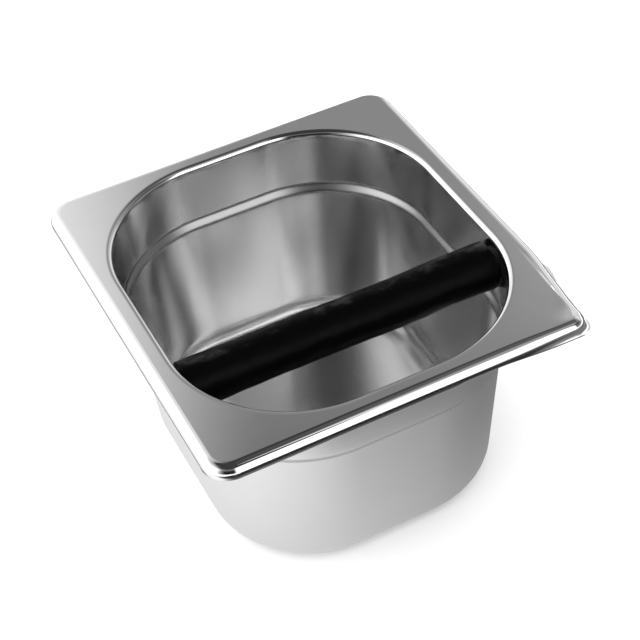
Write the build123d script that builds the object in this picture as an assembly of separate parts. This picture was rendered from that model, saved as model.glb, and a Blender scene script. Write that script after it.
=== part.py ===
from build123d import *
import os
from math import sqrt, radians, sin, cos, atan2, degrees, pi

# Espresso knock box: a deep-drawn gastronorm pan with a rubber covered
# knock bar screwed across it. Millimetres, +Z up, origin at the centre of
# the pan's bottom face. +X runs along the bar, +Y from front to back.

# ---- pan ------------------------------------------------------------------
H = 100.0            # height of the flange's top face
T = 0.8              # sheet thickness
RIM_X = 162.0        # rim, outside, along the bar
RIM_Y = 176.0        # rim, outside, front to back
RIM_R = 11.0         # outer corner radius of the rim
CX = 17.15           # corner axis of the body's plan shape, from the centre
CY = 25.3
RHO_TOP = 52.55      # inner wall's distance from the corner axis, under the bend
RHO_STEP_TOP = 52.2  # the same, just above the stacking shoulder
RHO_STEP_BOT = 49.9  # the same, just under it
RHO_BOT = 44.3       # where the inner wall's line would meet the floor plane
BEND_R = 2.3         # inner bend, from the flange into the wall (top face)
Z_STEP_TOP = 72.0    # top of the stacking shoulder
Z_STEP_BOT = 68.8    # foot of the stacking shoulder
FILLET_R = 11.0      # bottom fillet, inner face
EDGE_R = 3.5         # outer bend of the rim
EDGE_DROP = 5.9      # the turned-down edge ends this far below the flange top

# corner lip: the turned-down edge flares out at the front right corner
LIP_OUT = 1.5        # how far it reaches past the rim
LIP_DOWN = 7.6       # how far its edge is below the flange top
LIP_LEN_X = 30.0     # length along the front edge, from the corner radius
LIP_LEN_Y = 34.0     # length along the right edge, from the corner radius

# ---- knock bar --------------------------------------------------------------
BAR_Y = -28.0        # bar axis
BAR_Z = 86.0
SLEEVE_R = 10.2      # outside radius of the rubber sleeve
CORE_R = 7.0         # outside radius of the steel tube
CORE_WALL = 1.5
RUN_CLEAR = 0.05     # radial clearance of the sleeve on the tube
SEAL_T = 1.0         # rubber seal between the bar's end and the wall
SEAL_R = 6.6
THREAD_R = 3.0       # M6
PLUG_LEN = 14.0
HOLE_R = 3.2         # screw hole in the pan's wall
FLAT_R, FLAT_T = 6.0, 1.2      # flat washer
LOCK_R, LOCK_T = 5.2, 1.3      # split lock washer
HEAD_R, HEAD_H = 5.0, 3.3      # button head screw
SOCKET_AF, SOCKET_D = 4.0, 2.0
SCREW_LEN = 14.0

os.makedirs("parts", exist_ok=True)


def save(shape, node):
    export_step(shape, "parts/%s.step" % node)


# ---- plan-shape helpers -----------------------------------------------------
def ring(face, ax, ay):
    """Sweep a profile face round a rounded rectangle.

    face is drawn in the XZ plane, with X measured from the corner axis.
    The corner axes stand at (+-ax, +-ay)."""
    pieces = []
    for sx, sy, start in ((1, 1, 0), (-1, 1, 90), (-1, -1, 180), (1, -1, 270)):
        corner = revolve(face, Axis.Z, 90)
        corner = Rot(0, 0, start) * corner
        pieces.append(Pos(sx * ax, sy * ay, 0) * corner)
    sx_side = extrude(face, amount=2 * ay, dir=(0, 1, 0))      # +X side
    sx_side = Pos(ax, -ay, 0) * sx_side
    pieces.append(sx_side)
    pieces.append(Rot(0, 0, 180) * sx_side)
    sy_side = extrude(face, amount=2 * ax, dir=(0, 1, 0))
    sy_side = Pos(-ax, ay, 0) * (Rot(0, 0, 90) * (Pos(0, -2 * ax, 0) * sy_side))
    pieces.append(sy_side)
    pieces.append(Rot(0, 0, 180) * sy_side)
    return pieces


# ---- pan wall profile -------------------------------------------------------
def unit(a, b):
    d = sqrt((b[0] - a[0]) ** 2 + (b[1] - a[1]) ** 2)
    return ((b[0] - a[0]) / d, (b[1] - a[1]) / d)


def wall_face():
    """Thin profile of floor, bottom fillet, shoulder, wall and inner bend."""
    flange_in = RHO_TOP + BEND_R
    pts = [(0.0, T), (RHO_BOT, T), (RHO_STEP_BOT, Z_STEP_BOT),
           (RHO_STEP_TOP, Z_STEP_TOP), (RHO_TOP, H), (flange_in + 0.6, H)]
    radii = [0, FILLET_R, 2.6, 2.2, BEND_R, 0]

    def offset_pts(d):
        # offset each straight line by d to the outside (down and out)
        lines = []
        for a, b in zip(pts[:-1], pts[1:]):
            u = unit(a, b)
            n = (u[1], -u[0])
            lines.append(((a[0] + n[0] * d, a[1] + n[1] * d), u))
        out = [lines[0][0]]
        for (p, u), (q, v) in zip(lines[:-1], lines[1:]):
            det = u[0] * v[1] - u[1] * v[0]
            t = ((q[0] - p[0]) * v[1] - (q[1] - p[1]) * v[0]) / det
            out.append((p[0] + u[0] * t, p[1] + u[1] * t))
        p, u = lines[-1]
        out.append((pts[-1][0], pts[-1][1] - d))
        return out

    def chain(points, rad):
        """Lines and arcs through points, each corner rounded."""
        edges = []
        cur = points[0]
        for i in range(1, len(points) - 1):
            a, b, c = points[i - 1], points[i], points[i + 1]
            u, v = unit(a, b), unit(b, c)
            ang = atan2(u[0] * v[1] - u[1] * v[0], u[0] * v[0] + u[1] * v[1])
            r = rad[i]
            d = r * abs(sin(ang / 2) / cos(ang / 2))
            s = (b[0] - u[0] * d, b[1] - u[1] * d)
            e = (b[0] + v[0] * d, b[1] + v[1] * d)
            side = 1 if ang > 0 else -1
            cen = (s[0] - u[1] * r * side, s[1] + u[0] * r * side)
            bis = (b[0] - cen[0], b[1] - cen[1])
            bl = sqrt(bis[0] ** 2 + bis[1] ** 2)
            mid = (cen[0] + bis[0] / bl * r, cen[1] + bis[1] / bl * r)
            edges.append(Line((cur[0], 0, cur[1]), (s[0], 0, s[1])))
            edges.append(ThreePointArc((s[0], 0, s[1]), (mid[0], 0, mid[1]),
                                       (e[0], 0, e[1])))
            cur = e
        end = points[-1]
        edges.append(Line((cur[0], 0, cur[1]), (end[0], 0, end[1])))
        return edges

    # the sheet keeps its thickness round every bend
    r_out = []
    for i, r in enumerate(radii):
        if i in (0, len(radii) - 1):
            r_out.append(0)
            continue
        a, b, c = pts[i - 1], pts[i], pts[i + 1]
        u, v = unit(a, b), unit(b, c)
        turn = u[0] * v[1] - u[1] * v[0]
        r_out.append(r + T if turn > 0 else r - T)
    inner = chain(pts, radii)
    opts = offset_pts(T)
    outer = chain(opts, r_out)
    e0 = Line((opts[0][0], 0, opts[0][1]), (pts[0][0], 0, pts[0][1]))
    e1 = Line((pts[-1][0], 0, pts[-1][1]), (opts[-1][0], 0, opts[-1][1]))
    wire = Wire(inner + [e1] + outer + [e0])
    return Face(wire)


def edge_face():
    """Outer bend and turned-down edge; X from the rim's corner axis."""
    r0 = RIM_R - EDGE_R
    q = sqrt(0.5)
    rc = EDGE_R
    ri = EDGE_R - T
    zc = H - EDGE_R
    a = Line((r0, 0, H - T), (r0, 0, H))
    b = ThreePointArc((r0, 0, H), (r0 + rc * q, 0, zc + rc * q), (RIM_R, 0, zc))
    c = Line((RIM_R, 0, zc), (RIM_R, 0, H - EDGE_DROP))
    d = Line((RIM_R, 0, H - EDGE_DROP), (RIM_R - T, 0, H - EDGE_DROP))
    e = Line((RIM_R - T, 0, H - EDGE_DROP), (RIM_R - T, 0, zc))
    f = ThreePointArc((RIM_R - T, 0, zc), (r0 + ri * q, 0, zc + ri * q), (r0, 0, H - T))
    return Face(Wire([a, b, c, d, e, f]))


pieces = ring(wall_face(), CX, CY)
pieces += ring(edge_face(), RIM_X / 2 - RIM_R, RIM_Y / 2 - RIM_R)

# flange plate between the inner bend and the outer bend
flange_in = RHO_TOP + BEND_R + 0.6
plate = RectangleRounded(RIM_X - 2 * EDGE_R, RIM_Y - 2 * EDGE_R, RIM_R - EDGE_R)
hole = RectangleRounded(2 * (CX + flange_in), 2 * (CY + flange_in), flange_in)
flange = Pos(0, 0, H - T) * extrude(plate - hole, amount=T)
pieces.append(flange)

# floor between the corner axes
pieces.append(Pos(0, 0, T / 2) * Box(2 * CX, 2 * CY, T))


# corner lip, drawn as sections of growing flare
def lip_section(g):
    """Closed section of the lip; X from the rim's corner axis, g = 0..1."""
    out0 = [(RIM_R - 0.05, -3.2), (RIM_R - 0.05, -4.2), (RIM_R - 0.05, -5.1), (RIM_R - 0.05, -5.85)]
    out1 = [(RIM_R - 0.05, -3.2), (RIM_R + 0.15, -4.9), (RIM_R + 0.65, -6.2),
            (RIM_R + LIP_OUT, -LIP_DOWN + 0.4)]
    inn0 = [(RIM_R - 0.7, -3.2), (RIM_R - 0.7, -4.2), (RIM_R - 0.7, -5.1), (RIM_R - 0.7, -5.85)]
    inn1 = [(RIM_R - 0.7, -3.2), (RIM_R - 0.6, -5.1), (RIM_R + 0.05, -6.6),
            (RIM_R + LIP_OUT - 0.55, -LIP_DOWN)]
    mix = lambda a, b: [(p[0] + (q[0] - p[0]) * g, p[1] + (q[1] - p[1]) * g)
                        for p, q in zip(a, b)]
    o, i = mix(out0, out1), mix(inn0, inn1)
    return o, i


def lip_wire(g, place):
    """place maps (r, z) in the section's plane to a point in space."""
    o, i = lip_section(g)
    o = [place(r, H + z) for r, z in o]
    i = [place(r, H + z) for r, z in i]
    return Wire([Spline(*o), Line(o[-1], i[-1]), Spline(*i[::-1]), Line(i[0], o[0])])


def grow(s):
    """Flare against the way along the lip, 0 at its start, 1 at the corner."""
    return s * s * (3 - 2 * s) * 0.45 + s * 0.55


ex = RIM_X / 2 - RIM_R
ey = RIM_Y / 2 - RIM_R
steps = [0.0, 0.2, 0.4, 0.6, 0.8, 1.0]
front = [lip_wire(grow(s), lambda r, z, s=s: (ex - LIP_LEN_X * (1 - s), -ey - r, z)) for s in steps]
right = [lip_wire(grow(min(1.0, 1.8 * s)), lambda r, z, s=s: (ex + r, -ey + LIP_LEN_Y * (1 - s), z)) for s in steps]
lip_front = Solid.make_loft(front)
lip_right = Solid.make_loft(right)
lip_corner = revolve(Face(lip_wire(1.0, lambda r, z: (r, 0, z))), Axis.Z, 90)
lip_corner = Pos(ex, -ey, 0) * (Rot(0, 0, 270) * lip_corner)

pan = pieces[0]
pan = pan.fuse(*pieces[1:]).clean()
pan = pan.fuse(lip_front, lip_right, lip_corner)

# screw holes through the two side walls
for sx in (-1, 1):
    pan = pan - Pos(sx * 70, BAR_Y, BAR_Z) * (Rot(0, 90, 0) * Cylinder(HOLE_R, 12))

print("pan valid", pan.is_valid, "solids", len(pan.solids()), "volume", round(pan.volume, 1))
save(pan.solids()[0] if len(pan.solids()) == 1 else pan, "pan")


# ---- knock bar ---------------------------------------------------------------
def wall_x(y, z=BAR_Z):
    """Inner wall's distance from the middle plane at y, z."""
    rho = RHO_TOP + (RHO_STEP_TOP - RHO_TOP) * (H - z) / (H - Z_STEP_TOP)
    dy = max(0.0, abs(y) - CY)
    return CX + sqrt(rho * rho - dy * dy)


def along_x(shape, x0):
    """Stand a part drawn along +Z with its foot at 0 onto the bar axis."""
    return Pos(x0, BAR_Y, BAR_Z) * (Rot(0, 90, 0) * shape)


def tube(r_out, r_in, length):
    body = Pos(0, 0, length / 2) * Cylinder(r_out, length)
    if r_in > 0:
        body = body - Pos(0, 0, length / 2) * Cylinder(r_in, length + 2)
    return body


# the end of the steel bar stops short of the wall by the seal's thickness
X_END = wall_x(BAR_Y - SEAL_R) - SEAL_T
X_SLEEVE = wall_x(BAR_Y - SLEEVE_R) - 0.15

core = along_x(tube(CORE_R, CORE_R - CORE_WALL, 2 * X_END), -X_END)
save(core, "knock_bar_core")

sleeve = tube(SLEEVE_R, CORE_R + RUN_CLEAR, 2 * X_SLEEVE)
sleeve = chamfer(sleeve.edges().filter_by(GeomType.CIRCLE).filter_by(lambda e: e.radius > 9), 0.5)
save(along_x(sleeve, -X_SLEEVE), "knock_bar_sleeve")

for side, sx in (("left", -1), ("right", 1)):
    def place(shape, x0):
        """Part drawn along +Z pointing out of the pan, foot at x0 from the middle."""
        s = Pos(x0, BAR_Y, BAR_Z) * (Rot(0, 90, 0) * shape)
        return s if sx > 0 else mirror(s, about=Plane.YZ)

    # threaded plug pressed and welded into the tube's end
    plug = tube(CORE_R - CORE_WALL, THREAD_R, PLUG_LEN)
    save(place(plug, X_END - PLUG_LEN), "threaded_plug_" + side)

    # rubber seal moulded to the wall's curve
    blank = place(tube(SEAL_R, HOLE_R, 6.0), X_END)
    rho0 = RHO_TOP + (RHO_STEP_TOP - RHO_TOP) * (H - BAR_Z) / (H - Z_STEP_TOP)
    room_a = Pos(CX * sx, -CY, BAR_Z) * Cylinder(rho0 - 0.08, 40)
    room_b = Pos(0, -CY + 40, BAR_Z) * Box(2 * (CX + rho0 - 0.08), 80, 40)
    seal = blank & (room_a + room_b)
    save(seal, "wall_seal_" + side)

    # outside: flat washer, split lock washer, button head screw
    x_out = wall_x(BAR_Y) + T + 0.18
    flat = tube(FLAT_R, HOLE_R, FLAT_T)
    save(place(flat, x_out), "flat_washer_" + side)
    lock = tube(LOCK_R, THREAD_R + 0.1, LOCK_T)
    slit = Pos(LOCK_R - 1.2, 0, LOCK_T / 2) * (Rot(20, 0, 0) * Box(4.0, 0.8, 6))
    save(place(lock - slit, x_out + FLAT_T), "lock_washer_" + side)
    x_head = x_out + FLAT_T + LOCK_T
    dome_r = (HEAD_R ** 2 + HEAD_H ** 2) / (2 * HEAD_H)
    head = Pos(0, 0, HEAD_H / 2) * Cylinder(HEAD_R, HEAD_H)
    head = head & (Pos(0, 0, HEAD_H - dome_r - 0.0) * Sphere(dome_r + 0.35))
    socket = Pos(0, 0, HEAD_H - SOCKET_D) * extrude(
        RegularPolygon(SOCKET_AF / 2, 6, major_radius=False), amount=SOCKET_D + 2)
    shank = Pos(0, 0, -SCREW_LEN / 2) * Cylinder(THREAD_R - 0.02, SCREW_LEN)
    screw = (head - socket) + shank
    save(place(screw, x_head), "bar_screw_" + side)
    print(side, "outermost", round(x_head + HEAD_H, 2), "screw tip", round(x_head - SCREW_LEN, 2),
          "core end", round(X_END, 2))
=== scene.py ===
import math

import bmesh
import bpy
import numpy as np
from mathutils import Matrix, Vector, noise


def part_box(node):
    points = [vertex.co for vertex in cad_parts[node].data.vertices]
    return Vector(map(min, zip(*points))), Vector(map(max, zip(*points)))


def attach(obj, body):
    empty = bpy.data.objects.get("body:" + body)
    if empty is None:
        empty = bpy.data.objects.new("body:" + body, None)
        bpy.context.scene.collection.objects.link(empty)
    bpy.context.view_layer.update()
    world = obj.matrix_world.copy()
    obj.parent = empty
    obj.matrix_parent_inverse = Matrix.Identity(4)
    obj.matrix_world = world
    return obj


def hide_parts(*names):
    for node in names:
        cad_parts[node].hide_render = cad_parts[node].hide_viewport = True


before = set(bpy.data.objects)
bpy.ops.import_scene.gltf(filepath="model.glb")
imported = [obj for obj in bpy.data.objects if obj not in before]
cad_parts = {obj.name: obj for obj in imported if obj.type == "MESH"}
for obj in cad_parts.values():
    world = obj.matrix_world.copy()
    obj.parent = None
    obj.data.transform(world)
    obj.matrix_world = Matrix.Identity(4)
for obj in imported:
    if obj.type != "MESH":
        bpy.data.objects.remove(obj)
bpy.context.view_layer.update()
MM = 0.001


# =====================================================================
# sizes of the pan, in millimetres, as the CAD model has them
# =====================================================================
H, T = 100.0, 0.8
RIM_X, RIM_Y, RIM_R = 162.0, 176.0, 11.0
CX, CY = 17.15, 25.3
RHO_TOP, RHO_STEP_TOP, RHO_STEP_BOT, RHO_BOT = 52.55, 52.2, 49.9, 44.3
BEND_R, FILLET_R = 2.3, 11.0
Z_STEP_TOP, Z_STEP_BOT = 72.0, 68.8
EDGE_R, EDGE_DROP = 4.3, 5.9
BAR_Y, BAR_Z = -28.0, 86.0
SLEEVE_R, SLEEVE_BORE = 10.2, 7.05
HOLE_R = 3.2


def link(obj):
    bpy.context.scene.collection.objects.link(obj)
    return obj


def unit(a, b):
    d = math.hypot(b[0] - a[0], b[1] - a[1])
    return ((b[0] - a[0]) / d, (b[1] - a[1]) / d)


def sharpen(mesh, degrees):
    """Smooth faces, with the edges sharper than degrees left sharp."""
    bm = bmesh.new()
    bm.from_mesh(mesh)
    limit = math.radians(degrees)
    for f in bm.faces:
        f.smooth = True
    for e in bm.edges:
        e.smooth = not (len(e.link_faces) == 2 and e.calc_face_angle(0) > limit)
    bm.to_mesh(mesh)
    bm.free()


# =====================================================================
# pan
# =====================================================================
def profile(offset):
    """Points (rho, z) down the wall's skin, from the flange to the floor's middle."""
    pts = [(0.0, T), (RHO_BOT, T), (RHO_STEP_BOT, Z_STEP_BOT),
           (RHO_STEP_TOP, Z_STEP_TOP), (RHO_TOP, H), (RHO_TOP + BEND_R + 0.6, H)]
    radii = [0, FILLET_R, 4.2, 3.6, BEND_R, 0]
    steps = [0, 14, 8, 8, 10, 0]
    cuts = [5, 22, 3, 12, 1]
    turns = []
    for i in range(1, 5):
        u, v = unit(pts[i - 1], pts[i]), unit(pts[i], pts[i + 1])
        turns.append(u[0] * v[1] - u[1] * v[0])
    if offset:
        lines = []
        for a, b in zip(pts[:-1], pts[1:]):
            u = unit(a, b)
            lines.append(((a[0] + u[1] * offset, a[1] - u[0] * offset), u))
        out = [lines[0][0]]
        for (p, u), (q, v) in zip(lines[:-1], lines[1:]):
            det = u[0] * v[1] - u[1] * v[0]
            t = ((q[0] - p[0]) * v[1] - (q[1] - p[1]) * v[0]) / det
            out.append((p[0] + u[0] * t, p[1] + u[1] * t))
        out.append((pts[-1][0], pts[-1][1] - offset))
        pts = out
        radii = [0] + [r + offset if t > 0 else r - offset
                       for r, t in zip(radii[1:5], turns)] + [0]
    line = []
    cur = pts[0]
    for i in range(1, 5):
        u, v = unit(pts[i - 1], pts[i]), unit(pts[i], pts[i + 1])
        ang = math.atan2(u[0] * v[1] - u[1] * v[0], u[0] * v[0] + u[1] * v[1])
        r = radii[i]
        d = r * abs(math.tan(ang / 2))
        s = (pts[i][0] - u[0] * d, pts[i][1] - u[1] * d)
        side = 1 if ang > 0 else -1
        cen = (s[0] - u[1] * r * side, s[1] + u[0] * r * side)
        n = cuts[i - 1]
        for k in range(n):
            t = k / n
            line.append((cur[0] + (s[0] - cur[0]) * t, cur[1] + (s[1] - cur[1]) * t))
        a0 = math.atan2(s[1] - cen[1], s[0] - cen[0])
        for k in range(steps[i]):
            a = a0 + ang * k / steps[i]
            line.append((cen[0] + r * math.cos(a), cen[1] + r * math.sin(a)))
        a = a0 + ang
        cur = (cen[0] + r * math.cos(a), cen[1] + r * math.sin(a))
    line.append(cur)
    line.append(pts[-1])
    return line[::-1]          # flange first, floor's middle last


N_C = 36                       # steps round each corner


def spread(n, fine=0, share=0.0, at_end=False):
    """n fractions from 0 up to 1, with fine more of them in the given share next to the lip."""
    if not fine:
        return [i / n for i in range(n)]
    f = [share * i / fine for i in range(fine)] + [share + (1 - share) * i / n for i in range(n)]
    if at_end:
        f = [0.0] + [1 - t for t in f[:0:-1]]
    return f


def loop_frames():
    """For each point round the plan: corner, next corner, way between them, normal's angle."""
    pts = []
    corners = [(1, 1, 0), (-1, 1, 90), (-1, -1, 180), (1, -1, 270)]
    ways = [spread(40), spread(44), spread(26, 40, 0.40, True), spread(32, 32, 0.28)]
    for k, (sx, sy, a0) in enumerate(corners):
        for i in range(N_C):
            pts.append((sx, sy, sx, sy, 0.0, math.radians(a0 + 90.0 * i / N_C)))
        nx_, ny_, _ = corners[(k + 1) % 4]
        for t in ways[k]:
            pts.append((sx, sy, nx_, ny_, t, math.radians(a0 + 90.0)))
    return pts


LOOP = loop_frames()
N = len(LOOP)


def loop_at(ax, ay, rho):
    out = np.empty((N, 2))
    for i, (sx, sy, tx, ty, t, a) in enumerate(LOOP):
        cx = (sx + (tx - sx) * t) * ax
        cy = (sy + (ty - sy) * t) * ay
        out[i] = (cx + rho * math.cos(a), cy + rho * math.sin(a))
    return out


NORMAL = np.array([(math.cos(p[5]), math.sin(p[5])) for p in LOOP])
EX, EY = RIM_X / 2 - RIM_R, RIM_Y / 2 - RIM_R


def smooth(x):
    x = min(max(x, 0.0), 1.0)
    return x * x * (3 - 2 * x)


def between(v, points):
    """Straight lines through (v, value) points."""
    return float(np.interp(v, [q[0] for q in points], [q[1] for q in points]))


def lip_shape():
    """Round the front right corner the rim's bend is set in and a lip flares out under it.

    Per loop point: inset weight, lip's reach, lip's edge below the flange, flange's droop, bend's radius."""
    inset, reach, drop, droop = np.zeros(N), np.zeros(N), np.full(N, EDGE_DROP), np.zeros(N)
    bend = np.full(N, EDGE_R)
    for i, (sx, sy, tx, ty, t, a) in enumerate(LOOP):
        deg = math.degrees(a) - 270
        if (sx, sy) == (1, -1) and (tx, ty) == (1, -1):
            inset[i] = 1.0
            reach[i] = 0.8 + 1.6 * smooth(deg / 75)
            drop[i] = 6.6 + 1.4 * smooth(deg / 70)
            droop[i] = smooth((deg - 15) / 65)
            bend[i] = 3.4 + (5.0 - 3.4) * smooth((deg - 15) / 65)
        elif (sx, sy) == (-1, -1) and (tx, ty) == (1, -1):        # front edge
            x = -EX + 2 * EX * t
            inset[i] = smooth((x - 50) / (EX - 50))
            reach[i] = 0.8 * smooth((x - 40) / (EX - 40))
            dent = 0.7 * smooth((x - 18.5) / 3.0)
            drop[i] = EDGE_DROP - dent + (0.7 + dent) * smooth((x - 28) / 32)
            bend[i] = EDGE_R + (3.4 - EDGE_R) * smooth((x - 44) / (EX - 44))
        elif (sx, sy) == (1, -1) and (tx, ty) == (1, 1):          # right edge
            y = -EY + 2 * EY * t
            inset[i] = between(y, ((-74, 1.0), (-70, 0.93), (-48, 0.12), (-42, 0.0)))
            start = smooth((-42.5 - y) / 7.0)
            reach[i] = start * between(y, ((-77, 2.4), (-62, 2.7), (-50, 2.9)))
            drop[i] = EDGE_DROP + 2.1 * smooth((-42.5 - y) / 14.0)
            droop[i] = min(max((-42 - y) / 35, 0.0), 1.0) ** 1.2
            bend[i] = EDGE_R + (5.0 - EDGE_R) * smooth((-30 - y) / 30)
    return inset, reach, drop, droop, bend


INSET, REACH, DROP, DROOP, BEND = lip_shape()
TILT = np.radians(10.0) * DROOP            # the flange's slope where its bend starts
SAG = 0.9 * DROOP                          # and how far it has come down there
SAG_LEN = 10.0
BEND = np.minimum(BEND, DROP - SAG - 0.75)
SHIFT = np.outer(INSET, (0.25, -3.0))      # the corner's axis stands closer to the corner there


def build_pan():
    rings = []                                     # each N x 3, in mm

    def ring(xy, z):
        a = np.empty((N, 3))
        a[:, :2] = xy
        a[:, 2] = z
        rings.append(a)

    inner = profile(0.0)
    outer = profile(T)

    # floor's middle up to the flange, inside
    for rho, z in inner[::-1]:
        if rho < 1.0:
            continue
        ring(loop_at(CX, CY, rho), z)
    # flange's top, from the opening out to the rim's bend
    r_edge = RIM_R - BEND

    def rim_ring(r, z):
        """Ring at r from the rim's corner axes, which stand closer to the corner by the lip."""
        ring(loop_at(EX, EY, 0.0) + SHIFT + NORMAL * (r - 3.0 * INSET)[:, None], z)

    def flange_rings(z_top, radius, rho, order):
        a = loop_at(CX, CY, rho)
        b = loop_at(EX, EY, 0.0) + SHIFT
        b = b + NORMAL * (r_edge + radius * np.sin(TILT) - 3.0 * INSET)[:, None]
        span = np.hypot(*(b - a).T)
        for f in order:
            s = np.clip(1 - (1 - f) * span / SAG_LEN, 0, 1)
            ring(a + (b - a) * f, z_top - SAG * s * s)

    ways = (0.14, 0.28, 0.42, 0.54, 0.65, 0.72, 0.78, 0.83, 0.87, 0.90, 0.93, 0.955, 0.975, 0.99)
    flange_rings(H, BEND, inner[0][0], ways)
    # outer bend
    nb = 16
    centre = H - SAG - BEND * np.cos(TILT)
    for k in range(nb + 1):
        th = TILT + (math.pi / 2 - TILT) * k / nb
        rim_ring(r_edge + BEND * np.sin(th), centre + BEND * np.cos(th))

    # turned-down edge, with the flare where the lip is
    def edge_at(s):
        r = RIM_R + REACH * s ** 1.7
        z = centre + (H - DROP + 0.25 - centre) * s
        tr, tz = 1.7 * REACH * s ** 0.7, H - DROP + 0.25 - centre
        d = np.hypot(tr, tz)
        return r, z, tr / d, tz / d

    for s in (0.2, 0.4, 0.6, 0.8, 0.92):
        r, z, _, _ = edge_at(s)
        rim_ring(r, z)
    r, z, tr, tz = edge_at(1.0)
    for across, along in ((0.10, 0.12), (0.25, 0.22), (0.40, 0.25), (0.55, 0.22), (0.70, 0.12)):
        rim_ring(r + tz * across + tr * along, z - tr * across + tz * along)
    for s in (0.92, 0.8, 0.6, 0.4, 0.2):
        r, z, tr, tz = edge_at(s)
        rim_ring(r + tz * T, z - tr * T)
    # inside of the bend and the flange's underside
    ri = BEND - T
    for k in range(nb, -1, -1):
        th = TILT + (math.pi / 2 - TILT) * k / nb
        rim_ring(r_edge + ri * np.sin(th), centre + ri * np.cos(th))
    flange_rings(H - T, ri, outer[0][0], ways[::-1])
    for rho, z in outer:
        if rho < 1.0:
            continue
        ring(loop_at(CX, CY, rho), z)

    V = np.concatenate(rings)
    nr = len(rings)
    faces = []
    for j in range(nr - 1):
        for i in range(N):
            i2 = (i + 1) % N
            faces.append((j * N + i, j * N + i2, (j + 1) * N + i2, (j + 1) * N + i))
    # the floor's middle closes both skins
    first = list(range(N))
    last = [(nr - 1) * N + i for i in range(N)]
    mesh = bpy.data.meshes.new("pan")
    mesh.from_pydata([tuple(v * MM) for v in V], [], faces + [tuple(first[::-1]), tuple(last)])
    mesh.validate()
    obj = link(bpy.data.objects.new("pan_shell", mesh))

    bm = bmesh.new()
    bm.from_mesh(mesh)
    bm.normal_update()
    # the two floor polygons are cut into triangles
    ngons = [f for f in bm.faces if len(f.verts) > 4]
    bmesh.ops.triangulate(bm, faces=ngons)
    bmesh.ops.recalc_face_normals(bm, faces=bm.faces)
    bm.to_mesh(mesh)
    bm.free()
    return obj


pan = build_pan()


def drill(obj, x):
    """Round hole for a bar screw through a side wall."""
    bm = bmesh.new()
    bmesh.ops.create_cone(bm, cap_ends=True, segments=48, radius1=HOLE_R * MM, radius2=HOLE_R * MM,
                          depth=14 * MM, matrix=Matrix.Translation((x * MM, BAR_Y * MM, BAR_Z * MM))
                          @ Matrix.Rotation(math.pi / 2, 4, "Y"))
    me = bpy.data.meshes.new("cutter")
    bm.to_mesh(me)
    bm.free()
    cutter = link(bpy.data.objects.new("cutter", me))
    mod = obj.modifiers.new("hole", "BOOLEAN")
    mod.operation = "DIFFERENCE"
    mod.solver = "EXACT"
    mod.object = cutter
    deps = bpy.context.evaluated_depsgraph_get()
    new = bpy.data.meshes.new_from_object(obj.evaluated_get(deps))
    obj.modifiers.clear()
    old = obj.data
    obj.data = new
    bpy.data.meshes.remove(old)
    bpy.data.objects.remove(cutter)
    bpy.data.meshes.remove(me)


drill(pan, 70)
drill(pan, -70)
sharpen(pan.data, 40)
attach(pan, "box")
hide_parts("pan")


# =====================================================================
# rubber sleeve
# =====================================================================
def build_sleeve():
    lo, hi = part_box("knock_bar_sleeve")
    x0, x1 = lo.x / MM, hi.x / MM
    n_a, n_l = 128, 220
    rows = []                     # (x, r, wave share)
    c = 0.55
    rows.append((x0 + 0.30, SLEEVE_BORE, 0))
    rows.append((x0 + 0.08, SLEEVE_BORE + 0.10, 0))
    rows.append((x0, SLEEVE_BORE + 0.32, 0))
    rows.append((x0, (SLEEVE_BORE + SLEEVE_R) / 2, 0))
    rows.append((x0, SLEEVE_R - c - 0.35, 0))
    body = []
    for k in range(1, n_l):
        body.append((x0 + c + (x1 - x0 - 2 * c) * k / n_l, SLEEVE_R, 1))
    for k in range(7):
        a = math.pi / 2 * k / 6                # 0: on the end face, 90: on the side
        rows.append((x0 + c - c * math.cos(a), SLEEVE_R - c + c * math.sin(a), 0))
    rows += body
    for k in range(6, -1, -1):
        a = math.pi / 2 * k / 6
        rows.append((x1 - c + c * math.cos(a), SLEEVE_R - c + c * math.sin(a), 0))
    rows.append((x1, SLEEVE_R - c - 0.35, 0))
    rows.append((x1, (SLEEVE_BORE + SLEEVE_R) / 2, 0))
    rows.append((x1, SLEEVE_BORE + 0.32, 0))
    rows.append((x1 - 0.08, SLEEVE_BORE + 0.10, 0))
    rows.append((x1 - 0.30, SLEEVE_BORE, 0))
    for k in range(1, 8):
        rows.append((x1 - 0.3 - (x1 - x0 - 0.6) * k / 8, SLEEVE_BORE, 0))
    verts, faces = [], []
    for x, r, w in rows:
        for i in range(n_a):
            a = 2 * math.pi * i / n_a
            rr = r
            if w:
                edge = smooth((x - x0) / 6) * smooth((x1 - x) / 6)
                cy, cz = math.cos(a), math.sin(a)
                n1 = noise.noise(Vector((x * 0.042, cy * 0.7, cz * 0.7 + 5.0)))
                n2 = noise.noise(Vector((x * 0.16 + 9.0, cy * 1.6, cz * 1.6)))
                n3 = noise.noise(Vector((x * 0.5, cy * 4.5 + 2.0, cz * 4.5)))
                rr = r - 0.14 + edge * (0.48 * n1 + 0.16 * n2 + 0.03 * n3) + 0.14 * (1 - edge)
            verts.append((x * MM, BAR_Y * MM + rr * math.cos(a) * MM, BAR_Z * MM + rr * math.sin(a) * MM))
    m = len(rows)
    for j in range(m):
        j2 = (j + 1) % m
        for i in range(n_a):
            i2 = (i + 1) % n_a
            faces.append((j * n_a + i, j * n_a + i2, j2 * n_a + i2, j2 * n_a + i))
    mesh = bpy.data.meshes.new("knock_sleeve")
    mesh.from_pydata(verts, [], faces)
    bm = bmesh.new()
    bm.from_mesh(mesh)
    bmesh.ops.recalc_face_normals(bm, faces=bm.faces)
    bm.to_mesh(mesh)
    bm.free()
    sharpen(mesh, 60)
    return link(bpy.data.objects.new("knock_sleeve", mesh))


sleeve = build_sleeve()
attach(sleeve, "sleeve")
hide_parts("knock_bar_sleeve")


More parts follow.
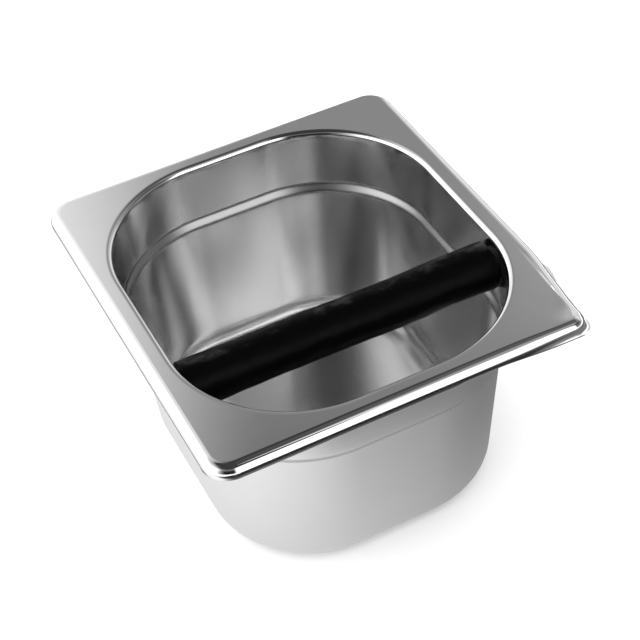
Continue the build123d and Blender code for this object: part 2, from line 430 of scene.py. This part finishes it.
# =====================================================================
# fasteners outside the walls
# =====================================================================
def lathe(name, rows, n=96, sharp=35):
    """Closed body of revolution about +Z through rows of (r, z); r = 0 closes an end."""
    bm = bmesh.new()
    rings = []
    for r, z in rows:
        if r < 1e-6:
            rings.append([bm.verts.new((0, 0, z * MM))])
        else:
            rings.append([bm.verts.new((r * MM * math.cos(2 * math.pi * i / n),
                                        r * MM * math.sin(2 * math.pi * i / n), z * MM)) for i in range(n)])
    closed = rows[0][0] > 1e-6
    pairs = list(zip(rings[:-1], rings[1:]))
    if closed:
        pairs.append((rings[-1], rings[0]))
    for a, b in pairs:
        for i in range(n):
            i2 = (i + 1) % n
            if len(a) == 1:
                bm.faces.new((a[0], b[i], b[i2]))
            elif len(b) == 1:
                bm.faces.new((a[i], b[0], a[i2]))
            else:
                bm.faces.new((a[i], b[i], b[i2], a[i2]))
    bmesh.ops.recalc_face_normals(bm, faces=bm.faces)
    mesh = bpy.data.meshes.new(name)
    bm.to_mesh(mesh)
    bm.free()
    sharpen(mesh, sharp)
    return link(bpy.data.objects.new(name, mesh))


def onto_bar_axis(obj, x_mm, side):
    """A body drawn along +Z goes onto the bar's axis, pointing out of the pan."""
    turn = Matrix.Rotation(math.pi / 2, 4, "Y") if side > 0 else Matrix.Rotation(-math.pi / 2, 4, "Y")
    obj.data.transform(Matrix.Translation((x_mm * MM * side, BAR_Y * MM, BAR_Z * MM)) @ turn)
    obj.data.update()


def rounded(r_in, r_out, z0, z1, b):
    """Washer section with small rounded edges."""
    rows = []
    for cx, cz, a0 in ((r_out - b, z0 + b, -90), (r_out - b, z1 - b, 0), (r_in + b, z1 - b, 90), (r_in + b, z0 + b, 180)):
        for k in range(5):
            a = math.radians(a0 + 90 * k / 4)
            rows.append((cx + b * math.cos(a), cz + b * math.sin(a)))
    return rows


def screw_mesh(name, length):
    """Button head socket screw: dome, hexagon socket and a threaded shank."""
    head_r, head_h, af, depth = 5.0, 3.3, 4.0, 2.0
    n = 96
    bm = bmesh.new()
    rings = []

    def circle(r, z):
        rings.append([bm.verts.new((r * MM * math.cos(2 * math.pi * i / n), r * MM * math.sin(2 * math.pi * i / n), z * MM))
                      for i in range(n)])

    def hexagon(flat, z, mix=0.0, r_round=2.7):
        ring = []
        for i in range(n):
            a = 2 * math.pi * i / n
            k = math.cos(((a + math.pi / 6) % (math.pi / 3)) - math.pi / 6)
            r = flat / k
            r = r * (1 - mix) + r_round * mix
            ring.append(bm.verts.new((r * MM * math.cos(a), r * MM * math.sin(a), z * MM)))
        rings.append(ring)

    # shank's tip, thread (as rings), neck, head, socket
    circle(0.6, -length)
    circle(2.1, -length)
    circle(2.6, -length + 0.5)
    pitch, core_r, top_r = 1.0, 2.55, 2.96
    z = -length + 0.9
    while z < -1.2:
        circle(core_r, z)
        circle(top_r, z + 0.38)
        circle(top_r, z + 0.52)
        z += pitch
    circle(2.9, -0.6)
    circle(3.0, -0.02)
    circle(head_r - 0.5, 0.0)
    circle(head_r - 0.12, 0.0)
    circle(head_r, 0.14)
    circle(head_r, 0.45)
    dome = (head_r ** 2 + (head_h - 0.35) ** 2) / (2 * (head_h - 0.35))
    for k in range(1, 12):
        r = head_r - (head_r - 2.75) * (k / 11) ** 1.1
        z = head_h - dome + math.sqrt(max(dome ** 2 - r ** 2, 0.0))
        circle(r, min(z, head_h))
    hexagon(af / 2 + 0.22, head_h - 0.02, 0.25)
    hexagon(af / 2 + 0.02, head_h - 0.22, 0.0)
    hexagon(af / 2, head_h - depth)
    circle(1.0, head_h - depth - 0.45)
    circle(0.15, head_h - depth - 0.75)
    for a, b in zip(rings[:-1], rings[1:]):
        for i in range(n):
            i2 = (i + 1) % n
            bm.faces.new((a[i], b[i], b[i2], a[i2]))
    bm.faces.new(rings[0][::-1])
    bm.faces.new(rings[-1])
    bmesh.ops.recalc_face_normals(bm, faces=bm.faces)
    mesh = bpy.data.meshes.new(name)
    bm.to_mesh(mesh)
    bm.free()
    sharpen(mesh, 38)
    return link(bpy.data.objects.new(name, mesh))


def split_washer(name, r_in, r_out, t, gap_deg=9.0, rise=0.16):
    """Lock washer cut through at a slant, its ends sprung a little apart."""
    n = 120
    bm = bmesh.new()
    sec = rounded(r_in, r_out, 0.0, t - rise, 0.16)
    rings = []
    for i in range(n + 1):
        f = i / n
        a0 = math.radians(gap_deg / 2 + (360 - gap_deg) * f)
        lift = rise * f
        ring = []
        for r, z in sec:
            slant = (z - (t - rise) / 2) * 0.16 * (1 if i in (0, n) else 0)
            ring.append(bm.verts.new((r * MM * math.cos(a0 + slant), r * MM * math.sin(a0 + slant), (z + lift) * MM)))
        rings.append(ring)
    m = len(sec)
    for a, b in zip(rings[:-1], rings[1:]):
        for i in range(m):
            i2 = (i + 1) % m
            bm.faces.new((a[i], a[i2], b[i2], b[i]))
    bm.faces.new(rings[0])
    bm.faces.new(rings[-1][::-1])
    bmesh.ops.recalc_face_normals(bm, faces=bm.faces)
    mesh = bpy.data.meshes.new(name)
    bm.to_mesh(mesh)
    bm.free()
    sharpen(mesh, 35)
    return link(bpy.data.objects.new(name, mesh))


steel_parts = []
for side, sx in (("left", -1), ("right", 1)):
    lo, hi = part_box("flat_washer_" + side)
    x_in = min(abs(lo.x), abs(hi.x)) / MM
    x_out = max(abs(lo.x), abs(hi.x)) / MM
    w = lathe("washer_" + side, rounded(3.2, 6.0, 0.0, x_out - x_in, 0.14))
    onto_bar_axis(w, x_in, sx)
    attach(w, "box")
    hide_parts("flat_washer_" + side)
    lo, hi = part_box("lock_washer_" + side)
    l_in = min(abs(lo.x), abs(hi.x)) / MM
    l_out = max(abs(lo.x), abs(hi.x)) / MM
    lw = split_washer("lockwasher_" + side, 3.1, 5.2, l_out - l_in)
    onto_bar_axis(lw, l_in, sx)
    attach(lw, "box")
    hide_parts("lock_washer_" + side)
    sc = screw_mesh("screw_" + side, 14.0)
    onto_bar_axis(sc, l_out, sx)
    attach(sc, "box")
    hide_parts("bar_screw_" + side)
    for o in (w, lw, sc):
        steel_parts.append(o)


# =====================================================================
# materials
# =====================================================================
class Nodes:
    """Short way to write a node tree."""

    def __init__(self, name):
        self.mat = bpy.data.materials.new(name)
        self.mat.use_nodes = True
        self.t = self.mat.node_tree
        for n in list(self.t.nodes):
            self.t.nodes.remove(n)
        self.out = self.add("ShaderNodeOutputMaterial")
        self.bsdf = self.add("ShaderNodeBsdfPrincipled")
        self.t.links.new(self.bsdf.outputs[0], self.out.inputs[0])
        self.coord = self.add("ShaderNodeTexCoord").outputs["Object"]

    def add(self, kind, **values):
        n = self.t.nodes.new(kind)
        for k, v in values.items():
            setattr(n, k, v)
        return n

    def put(self, socket, value):
        if isinstance(value, bpy.types.NodeSocket):
            self.t.links.new(value, socket)
        else:
            socket.default_value = value

    def math(self, op, a, b=0.0, c=None, clamp=False):
        n = self.add("ShaderNodeMath", operation=op, use_clamp=clamp)
        self.put(n.inputs[0], a)
        self.put(n.inputs[1], b)
        if c is not None:
            self.put(n.inputs[2], c)
        return n.outputs[0]

    def scale(self, factors, rotate=(0, 0, 0)):
        n = self.add("ShaderNodeMapping")
        self.put(n.inputs["Vector"], self.coord)
        n.inputs["Scale"].default_value = factors
        n.inputs["Rotation"].default_value = rotate
        return n.outputs[0]

    def noise(self, vector, scale, detail=3.0, rough=0.5, distortion=0.0):
        n = self.add("ShaderNodeTexNoise")
        self.put(n.inputs["Vector"], vector)
        n.inputs["Scale"].default_value = scale
        n.inputs["Detail"].default_value = detail
        n.inputs["Roughness"].default_value = rough
        n.inputs["Distortion"].default_value = distortion
        return n.outputs[0]

    def ramp(self, value, stops):
        n = self.add("ShaderNodeValToRGB")
        self.put(n.inputs[0], value)
        el = n.color_ramp.elements
        while len(el) < len(stops):
            el.new(0.5)
        for e, (p, c) in zip(el, stops):
            e.position = p
            e.color = (c, c, c, 1) if not hasattr(c, "__len__") else (*c, 1)
        return n.outputs[0]

    def range(self, value, a, b, c, d):
        n = self.add("ShaderNodeMapRange")
        self.put(n.inputs[0], value)
        for i, v in enumerate((a, b, c, d)):
            n.inputs[i + 1].default_value = v
        return n.outputs[0]

    def mix(self, factor, a, b):
        n = self.add("ShaderNodeMix", data_type="RGBA")
        self.put(n.inputs[0], factor)
        self.put(n.inputs[6], a if not isinstance(a, tuple) else (*a, 1))
        self.put(n.inputs[7], b if not isinstance(b, tuple) else (*b, 1))
        return n.outputs[2]

    def bump(self, height, strength, distance, normal=None):
        n = self.add("ShaderNodeBump")
        n.inputs["Strength"].default_value = strength
        n.inputs["Distance"].default_value = distance
        self.put(n.inputs["Height"], height)
        if normal is not None:
            self.put(n.inputs["Normal"], normal)
        return n.outputs[0]


def sheet_steel(name, colour=0.82, rough=0.155):
    """Satin polished stainless sheet: fine draw lines and a cloudy polish."""
    m = Nodes(name)
    # fine lines: upright on the walls, along the sheet on the flat parts
    sep = m.add("ShaderNodeSeparateXYZ")
    nrm = m.add("ShaderNodeNewGeometry")
    m.put(sep.inputs[0], nrm.outputs["Normal"])
    up = m.math("ABSOLUTE", sep.outputs["Z"])
    flat = m.range(up, 0.55, 0.85, 0.0, 1.0)
    wall_lines = m.noise(m.scale((1.0, 1.0, 0.02)), 700.0, 2.0, 0.5)
    flat_lines = m.noise(m.scale((0.02, 1.0, 1.0)), 700.0, 2.0, 0.5)
    lines = m.mix(flat, wall_lines, flat_lines)
    cloud = m.noise(m.coord, 38.0, 3.0, 0.55, 0.6)
    fine = m.noise(m.coord, 420.0, 3.0, 0.6)
    # the rim is the brightest polish, the outside of the body the dullest
    pos = m.add("ShaderNodeSeparateXYZ")
    m.put(pos.inputs[0], m.coord)
    outward = m.math("MULTIPLY_ADD", pos.outputs["X"], sep.outputs["X"], m.math("MULTIPLY", pos.outputs["Y"], sep.outputs["Y"]))
    outside = m.math("MULTIPLY", m.range(outward, 0.0, 0.01, 0.0, 1.0), m.range(pos.outputs["Z"], 0.090, 0.093, 1.0, 0.0))
    rim = m.range(pos.outputs["Z"], 0.0955, 0.0985, 0.0, 1.0)
    slope = m.math("MULTIPLY", m.range(pos.outputs["Z"], 0.0680, 0.0692, 0.0, 1.0), m.range(pos.outputs["Z"], 0.0716, 0.0728, 1.0, 0.0))
    base = m.math("MULTIPLY_ADD", outside, 0.09, m.math("MULTIPLY_ADD", rim, -0.10, rough))
    base = m.math("MULTIPLY_ADD", slope, 0.12, base)
    inside = m.math("MULTIPLY", m.range(outward, -0.001, 0.003, 1.0, 0.0), m.range(pos.outputs["Z"], 0.094, 0.098, 1.0, 0.0))
    base = m.math("MULTIPLY_ADD", inside, 0.05, base)
    r = m.math("MULTIPLY_ADD", cloud, 0.05, m.math("SUBTRACT", base, 0.025))
    r = m.math("MULTIPLY_ADD", fine, 0.03, m.math("SUBTRACT", r, 0.015))
    m.put(m.bsdf.inputs["Roughness"], r)
    shade = m.math("MULTIPLY_ADD", cloud, 0.05, colour - 0.025)
    # painted shade: the inner walls' colour is made a little darker, standing in for the shade inside the pan
    shade = m.math("MULTIPLY_ADD", inside, -0.05, shade)
    # painted shade: the step band round the walls is made much darker, standing in for the shade that falls there
    shade = m.math("MULTIPLY_ADD", slope, -0.30, shade)
    col = m.add("ShaderNodeCombineColor")
    m.put(col.inputs[0], shade)
    m.put(col.inputs[1], shade)
    m.put(col.inputs[2], m.math("MULTIPLY", shade, 1.003))
    m.put(m.bsdf.inputs["Base Color"], col.outputs[0])
    m.bsdf.inputs["Metallic"].default_value = 1.0
    n1 = m.bump(lines, 0.05, 0.00001)
    n2 = m.bump(cloud, 0.10, 0.00008, n1)
    m.put(m.bsdf.inputs["Normal"], n2)
    return m.mat


def turned_steel(name, colour=0.58, rough=0.24):
    """Small plain stainless parts: light machining rings and a dull bloom."""
    m = Nodes(name)
    cloud = m.noise(m.coord, 260.0, 3.0, 0.6)
    fine = m.noise(m.scale((0.1, 1.0, 1.0)), 5200.0, 2.0, 0.5)
    r = m.math("MULTIPLY_ADD", cloud, 0.16, rough - 0.08)
    m.put(m.bsdf.inputs["Roughness"], r)
    shade = m.math("MULTIPLY_ADD", cloud, 0.10, colour - 0.05)
    col = m.add("ShaderNodeCombineColor")
    for i in range(3):
        m.put(col.inputs[i], shade)
    m.put(m.bsdf.inputs["Base Color"], col.outputs[0])
    m.bsdf.inputs["Metallic"].default_value = 1.0
    m.put(m.bsdf.inputs["Normal"], m.bump(fine, 0.12, 0.00003))
    return m.mat


def black_rubber(name, base=0.0008, rough=0.36, level=0.06):
    """Black rubber hose: soft sheen broken by wear, dust and fine pores; its lighter grey blotches, on the side
    facing up and back, are dust and a painted sheen.
    """
    m = Nodes(name)
    blotch = m.noise(m.scale((0.7, 1.0, 1.0)), 110.0, 5.0, 0.68, 0.2)
    grain = m.noise(m.coord, 1500.0, 3.0, 0.6)
    pore = m.noise(m.coord, 620.0, 2.0, 0.7)
    r = m.math("MULTIPLY_ADD", blotch, 0.30, rough - 0.15)
    r = m.math("MULTIPLY_ADD", grain, 0.10, m.math("SUBTRACT", r, 0.05), True)
    m.put(m.bsdf.inputs["Roughness"], r)
    dust = m.ramp(blotch, [(0.0, 0.0), (0.48, 0.0), (0.72, 1.0)])
    nrm = m.add("ShaderNodeSeparateXYZ")
    m.put(nrm.inputs[0], m.add("ShaderNodeNewGeometry").outputs["Normal"])
    back = m.math("MULTIPLY_ADD", nrm.outputs["Z"], 0.80, m.math("MULTIPLY", nrm.outputs["Y"], 0.60))
    # painted sheen: grey dust blotches lightened only on the side facing up and back, standing in for the lit strip
    # along the sleeve's top
    dust_and_painted_sheen = m.math("MULTIPLY", m.range(back, 0.66, 0.94, 0.0, 1.0), dust)
    m.put(m.bsdf.inputs["Base Color"], m.mix(dust_and_painted_sheen, (base, base, base), (0.036, 0.036, 0.036)))
    m.bsdf.inputs["Specular IOR Level"].default_value = level
    h = m.math("MULTIPLY_ADD", pore, 0.6, m.math("MULTIPLY", grain, 0.4))
    n1 = m.bump(h, 0.22, 0.00012)
    n2 = m.bump(blotch, 0.30, 0.0006, n1)
    m.put(m.bsdf.inputs["Normal"], n2)
    return m.mat


pan_mat = sheet_steel("stainless_sheet")
small_mat = turned_steel("stainless_small_parts")
tube_mat = turned_steel("stainless_tube", 0.52, 0.3)
sleeve_mat = black_rubber("sleeve_rubber")
seal_mat = black_rubber("seal_rubber", 0.02, 0.6, 0.3)

pan.data.materials.clear()
pan.data.materials.append(pan_mat)
sleeve.data.materials.clear()
sleeve.data.materials.append(sleeve_mat)
for o in steel_parts:
    o.data.materials.clear()
    o.data.materials.append(small_mat)
for n, mat in (("knock_bar_core", tube_mat), ("threaded_plug_left", small_mat), ("threaded_plug_right", small_mat),
               ("wall_seal_left", seal_mat), ("wall_seal_right", seal_mat)):
    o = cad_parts[n]
    o.data.materials.clear()
    o.data.materials.append(mat)


# =====================================================================
# floor, light, camera
# =====================================================================
def plain(name, value, rough=0.9):
    m = Nodes(name)
    v = m.noise(m.coord, 3.0, 2.0, 0.5)
    s = m.math("MULTIPLY_ADD", v, 0.01, value - 0.005)
    col = m.add("ShaderNodeCombineColor")
    for i in range(3):
        m.put(col.inputs[i], s)
    m.put(m.bsdf.inputs["Base Color"], col.outputs[0])
    m.bsdf.inputs["Roughness"].default_value = rough
    return m.mat


def quad(name, size, mat, matrix):
    bm = bmesh.new()
    bmesh.ops.create_grid(bm, x_segments=1, y_segments=1, size=1.0)
    bmesh.ops.transform(bm, matrix=Matrix.Diagonal((size[0] / 2, size[1] / 2, 1, 1)), verts=bm.verts)
    me = bpy.data.meshes.new(name)
    bm.to_mesh(me)
    bm.free()
    me.materials.append(mat)
    o = link(bpy.data.objects.new(name, me))
    o.matrix_world = matrix
    return o


floor = quad("floor", (8, 8), plain("pale_floor", 0.86), Matrix.Translation((0, 0, -0.0002)))


# even light for the floor and the rubber, without a mark in the polished steel
sun_data = bpy.data.lights.new("floor_light", "SUN")
sun_data.energy = 4.5
sun_data.angle = math.radians(110)
sun = link(bpy.data.objects.new("floor_light", sun_data))
sun.location = (0, 0, 2)
sun.visible_glossy = False


def soft_step(m, value, a, b, c, d):
    n = m.add("ShaderNodeMapRange", interpolation_type="SMOOTHSTEP")
    m.put(n.inputs[0], value)
    for i, v in enumerate((a, b, c, d)):
        n.inputs[i + 1].default_value = v
    return n.outputs[0]


def card(name, size, at, shade):
    """Card lying by the pan that only the steel's reflections see. shade(m, x, y) gives glow and cover."""
    m = Nodes(name)
    m.t.nodes.remove(m.bsdf)
    sep = m.add("ShaderNodeSeparateXYZ")
    m.put(sep.inputs[0], m.coord)
    glow, cover = shade(m, sep.outputs["X"], sep.outputs["Y"])
    lit = m.add("ShaderNodeEmission")
    m.put(lit.inputs["Strength"], glow)
    mix = m.add("ShaderNodeMixShader")
    m.put(mix.inputs[0], cover)
    m.put(mix.inputs[1], m.add("ShaderNodeBsdfTransparent").outputs[0])
    m.put(mix.inputs[2], lit.outputs[0])
    m.put(m.out.inputs[0], mix.outputs[0])
    o = quad(name, size, m.mat, Matrix.Translation(at))
    o.visible_camera = False
    o.visible_diffuse = False
    o.visible_shadow = False
    o.visible_transmission = False
    return o


def graded(m, x, y):
    """Bright on the left, dim on the right, clear towards its rim."""
    ax, ay = m.math("ABSOLUTE", x), m.math("ABSOLUTE", y)
    cover = m.math("MULTIPLY", soft_step(m, ax, 0.42, 0.60, 1.0, 0.0), soft_step(m, ay, 0.42, 0.60, 1.0, 0.0))
    return soft_step(m, x, -0.18, 0.13, 1.15, 0.20), cover


def strip(half_x, half_y, soft, glow):
    """Strip with soft edges."""
    def shade(m, x, y):
        ax, ay = m.math("ABSOLUTE", x), m.math("ABSOLUTE", y)
        cover = m.math("MULTIPLY", soft_step(m, ax, half_x - soft, half_x + soft, 1.0, 0.0),
                       soft_step(m, ay, half_y - soft, half_y + soft, 1.0, 0.0))
        return glow, cover
    return shade


card("floor_card", (1.2, 1.2), (0.0, 0.0, -0.00012), graded)
card("front_strip", (0.50, 0.40), (-0.055, -0.328, -0.00005), strip(0.185, 0.172, 0.022, 0.02))
card("corner_strip", (0.24, 0.14), (-0.075, 0.240, -0.00004), strip(0.085, 0.045, 0.010, 0.22))
card("left_strip", (0.08, 0.46), (-0.132, 0.125, -0.00005), strip(0.020, 0.18, 0.006, 0.22))


class Studio(Nodes):
    """Soft bright fields on a dim surround, by direction."""

    def __init__(self, name):
        self.world = bpy.data.worlds.new(name)
        self.world.use_nodes = True
        self.t = self.world.node_tree
        for n in list(self.t.nodes):
            self.t.nodes.remove(n)
        sep = self.add("ShaderNodeSeparateXYZ")
        self.put(sep.inputs[0], self.add("ShaderNodeTexCoord").outputs["Generated"])
        self.x, self.y, z = sep.outputs
        self.el = self.math("DEGREES", self.math("ARCSINE", z))

    def field(self, left, soft_left, right, soft_right, low, soft_low, high, soft_high, amount):
        """Bright field. Azimuths from +Y towards +X and heights above the floor, in degrees."""
        half = (right - left) / 2
        a = math.radians((left + right) / 2)
        across = self.math("SUBTRACT", self.math("MULTIPLY", self.x, math.cos(a)), self.math("MULTIPLY", self.y, math.sin(a)))
        along = self.math("MULTIPLY_ADD", self.x, math.sin(a), self.math("MULTIPLY", self.y, math.cos(a)))
        off = self.math("DEGREES", self.math("ARCTAN2", across, along))
        w = soft_step(self, off, -half - soft_left, -half + soft_left, 0.0, amount)
        for value, edge, soft, rise in ((off, half, soft_right, False), (self.el, low, soft_low, True), (self.el, high, soft_high, False)):
            w = self.math("MULTIPLY", w, soft_step(self, value, edge - soft, edge + soft, *((0.0, 1.0) if rise else (1.0, 0.0))))
        return w


studio = Studio("studio")
bpy.context.scene.world = studio.world
light = soft_step(studio, studio.el, 42, 56, 0.29, 0.05)
for args in (
        (-112, 18, 14.5, 6, -20, 5, 50, 7, 0.75),    # long window, left and behind
        (-118, 15, -14, 12, -20, 5, 45, 7, 0.85),    # its brightest part
        (-96, 22, 10, 10, 50, 6, 62, 6, 0.60),       # its paler top
        (33, 4, 75, 14, 10, 12, 42, 5, 0.22),        # wall on the right
        (40, 5, 84, 12, 0, 5, 26, 5, 0.42),          # lamp before it
        (50, 15, 125, 15, 46, 5, 76, 6, 0.07),
        (98, 10, 141, 5, 18, 8, 48, 4, -0.19),       # dim part of the right wall
        (116, 8, 146, 5, 50, 5, 66, 5, 0.32),
        (146, 5, 153.5, 2, 43.5, 3, 64, 4, 1.00),    # upper right part of the front light
        (154.5, 1.5, 158.5, 1.5, 45, 2, 62, 5, -0.26),
        (148, 6, 179, 6, -20, 5, 44.5, 3, 1.60),     # front light
        (-176, 4, -134, 8, -20, 5, 34, 6, -0.27),    # dark gap between front light and window
        (-176, 6, -138, 8, 38, 4, 52, 4, -0.10)):
    light = studio.math("ADD", light, studio.field(*args))
light = studio.math("MAXIMUM", light, 0.012)
dim = studio.add("ShaderNodeBackground")
studio.put(dim.inputs["Color"], light)
pale = studio.add("ShaderNodeBackground")
pale.inputs["Color"].default_value = (0.93, 0.93, 0.93, 1)
pick = studio.add("ShaderNodeMixShader")
studio.put(pick.inputs[0], studio.add("ShaderNodeLightPath").outputs["Is Camera Ray"])
studio.put(pick.inputs[1], dim.outputs[0])
studio.put(pick.inputs[2], pale.outputs[0])
studio.put(studio.add("ShaderNodeOutputWorld").inputs[0], pick.outputs[0])

# camera: solved position and lens
cam_data = bpy.data.cameras.new("camera")
cam_data.sensor_width = 36.0
cam_data.lens = 1602.083 / 640.0 * 36.0
cam_data.clip_start = 0.01
cam_data.clip_end = 50
camera = link(bpy.data.objects.new("camera", cam_data))
right = Vector((0.8892, -0.4526, -0.0666))
down = Vector((-0.3554, -0.5920, -0.7234))
ahead = Vector((0.2879, 0.6669, -0.6873))
rot = Matrix((right, -down, -ahead)).transposed()
camera.matrix_world = Matrix.Translation((-0.18864, -0.44555, 0.52266)) @ rot.to_quaternion().to_matrix().to_4x4()
bpy.context.scene.camera = camera

bpy.context.scene.view_settings.view_transform = "Standard"
bpy.context.scene.view_settings.look = "None"
bpy.context.scene.view_settings.exposure = 0.0
bpy.context.scene.view_settings.gamma = 1.0

bpy.context.view_layer.update()
